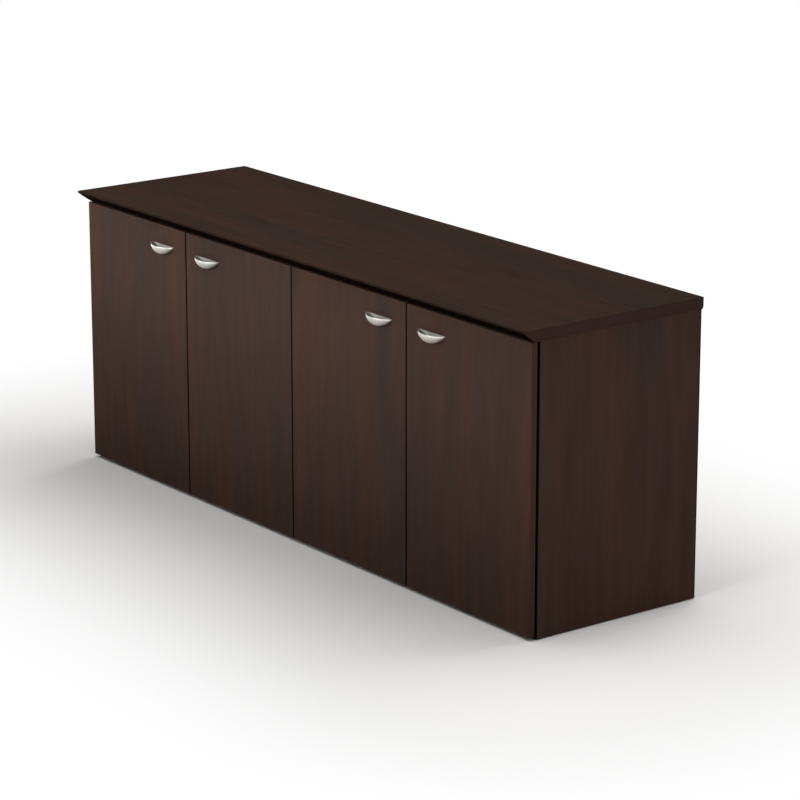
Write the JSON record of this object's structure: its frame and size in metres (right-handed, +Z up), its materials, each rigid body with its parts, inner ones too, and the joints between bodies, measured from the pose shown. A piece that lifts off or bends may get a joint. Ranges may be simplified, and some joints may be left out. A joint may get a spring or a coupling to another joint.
{
  "type": "office credenza",
  "caption": "Long low office credenza with hinged wood-veneer doors under an overhanging bevelled worktop, crescent metal pulls, adjustable shelves inside and concealed cup hinges.",
  "frame": {"origin": "on the floor, below the centre of the worktop", "axes": "+X along the length, to the right as seen from the front; +Y to the back (doors face -Y); +Z up"},
  "size_m": [1.829, 0.525, 0.723],
  "materials": {
    "worktop_veneer": "satin",
    "door_veneer": "satin",
    "interior_laminate": "satin",
    "back_board": "matt",
    "satin_nickel": "satin",
    "nickelled_steel": "bright",
    "zinc_screw": "zinc plated",
    "beech_dowel": "bare",
    "moulded_plastic": "matt",
    "clear_bumper": "matt"
  },
  "bodies": {
    "cabinet": {"top_panel": "worktop_veneer", "left_side_panel": "door_veneer", "right_side_panel": "door_veneer", "centre_partition": "interior_laminate", "bottom_panel": "interior_laminate", "front_top_rail": "interior_laminate", "rear_top_rail": "interior_laminate", "front_base_rail": "interior_laminate", "rear_base_rail": "interior_laminate", "centre_base_rail": "interior_laminate", "left_back_panel": "back_board", "right_back_panel": "back_board", "left_shelf": "interior_laminate", "right_shelf": "interior_laminate", "shelf_pins": "nickelled_steel", "panel_dowels": "beech_dowel", "top_screws": "zinc_screw", "back_screws": "zinc_screw", "floor_glides": "moulded_plastic", "door_bumpers": "clear_bumper", "outer_hinge_arms": "nickelled_steel", "inner_hinge_arms": "nickelled_steel", "outer_hinge_plates": "nickelled_steel", "inner_hinge_plates": "nickelled_steel", "hinge_arm_pins": "nickelled_steel", "hinge_plate_screws": "zinc_screw", "hinge_fixing_screws": "zinc_screw", "hinge_adjusting_screws": "zinc_screw"},
    "far_left_hinge_pair": {"far_left_hinge_links": "nickelled_steel"},
    "far_left_door_leaf": {"far_left_door": "door_veneer", "far_left_pull": "satin_nickel", "far_left_pull_screws": "zinc_screw", "far_left_hinge_cups": "nickelled_steel", "far_left_cup_pins": "nickelled_steel", "far_left_cup_screws": "zinc_screw"},
    "mid_left_hinge_pair": {"mid_left_hinge_links": "nickelled_steel"},
    "mid_left_door_leaf": {"mid_left_door": "door_veneer", "mid_left_pull": "satin_nickel", "mid_left_pull_screws": "zinc_screw", "mid_left_hinge_cups": "nickelled_steel", "mid_left_cup_pins": "nickelled_steel", "mid_left_cup_screws": "zinc_screw"},
    "mid_right_hinge_pair": {"mid_right_hinge_links": "nickelled_steel"},
    "mid_right_door_leaf": {"mid_right_door": "door_veneer", "mid_right_pull": "satin_nickel", "mid_right_pull_screws": "zinc_screw", "mid_right_hinge_cups": "nickelled_steel", "mid_right_cup_pins": "nickelled_steel", "mid_right_cup_screws": "zinc_screw"},
    "far_right_hinge_pair": {"far_right_hinge_links": "nickelled_steel"},
    "far_right_door_leaf": {"far_right_door": "door_veneer", "far_right_pull": "satin_nickel", "far_right_pull_screws": "zinc_screw", "far_right_hinge_cups": "nickelled_steel", "far_right_cup_pins": "nickelled_steel", "far_right_cup_screws": "zinc_screw"}
  },
  "joints": [
    {"name": "far_left_link_swing", "type": "hinge", "parent": "cabinet", "child": "far_left_hinge_pair", "pos_m": [-0.8795, -0.1995, 0.35], "axis": [0, 0, 1], "range_deg": [0, 31.51]},
    {"name": "far_left_door_swing", "type": "hinge", "parent": "far_left_hinge_pair", "child": "far_left_door_leaf", "pos_m": [-0.9002, -0.2233, 0.35], "axis": [0, 0, -1], "range_deg": [0, 136.5]},
    {"name": "mid_left_link_swing", "type": "hinge", "parent": "cabinet", "child": "mid_left_hinge_pair", "pos_m": [-0.0305, -0.1995, 0.35], "axis": [0, 0, -1], "range_deg": [0, 25.81]},
    {"name": "mid_left_door_swing", "type": "hinge", "parent": "mid_left_hinge_pair", "child": "mid_left_door_leaf", "pos_m": [-0.0098, -0.2233, 0.35], "axis": [0, 0, 1], "range_deg": [0, 111.8]},
    {"name": "mid_right_link_swing", "type": "hinge", "parent": "cabinet", "child": "mid_right_hinge_pair", "pos_m": [0.0305, -0.1995, 0.35], "axis": [0, 0, 1], "range_deg": [0, 25.81]},
    {"name": "mid_right_door_swing", "type": "hinge", "parent": "mid_right_hinge_pair", "child": "mid_right_door_leaf", "pos_m": [0.0098, -0.2233, 0.35], "axis": [0, 0, -1], "range_deg": [0, 111.8]},
    {"name": "far_right_link_swing", "type": "hinge", "parent": "cabinet", "child": "far_right_hinge_pair", "pos_m": [0.8795, -0.1995, 0.35], "axis": [0, 0, -1], "range_deg": [0, 31.51]},
    {"name": "far_right_door_swing", "type": "hinge", "parent": "far_right_hinge_pair", "child": "far_right_door_leaf", "pos_m": [0.9002, -0.2233, 0.35], "axis": [0, 0, 1], "range_deg": [0, 136.5]}
  ],
  "couplings": [
    {"joint": "far_left_link_swing", "follows": "far_left_door_swing", "ratio": 0.23077},
    {"joint": "mid_left_link_swing", "follows": "mid_left_door_swing", "ratio": 0.23077},
    {"joint": "mid_right_link_swing", "follows": "mid_right_door_swing", "ratio": 0.23077},
    {"joint": "far_right_link_swing", "follows": "far_right_door_swing", "ratio": 0.23077}
  ]
}
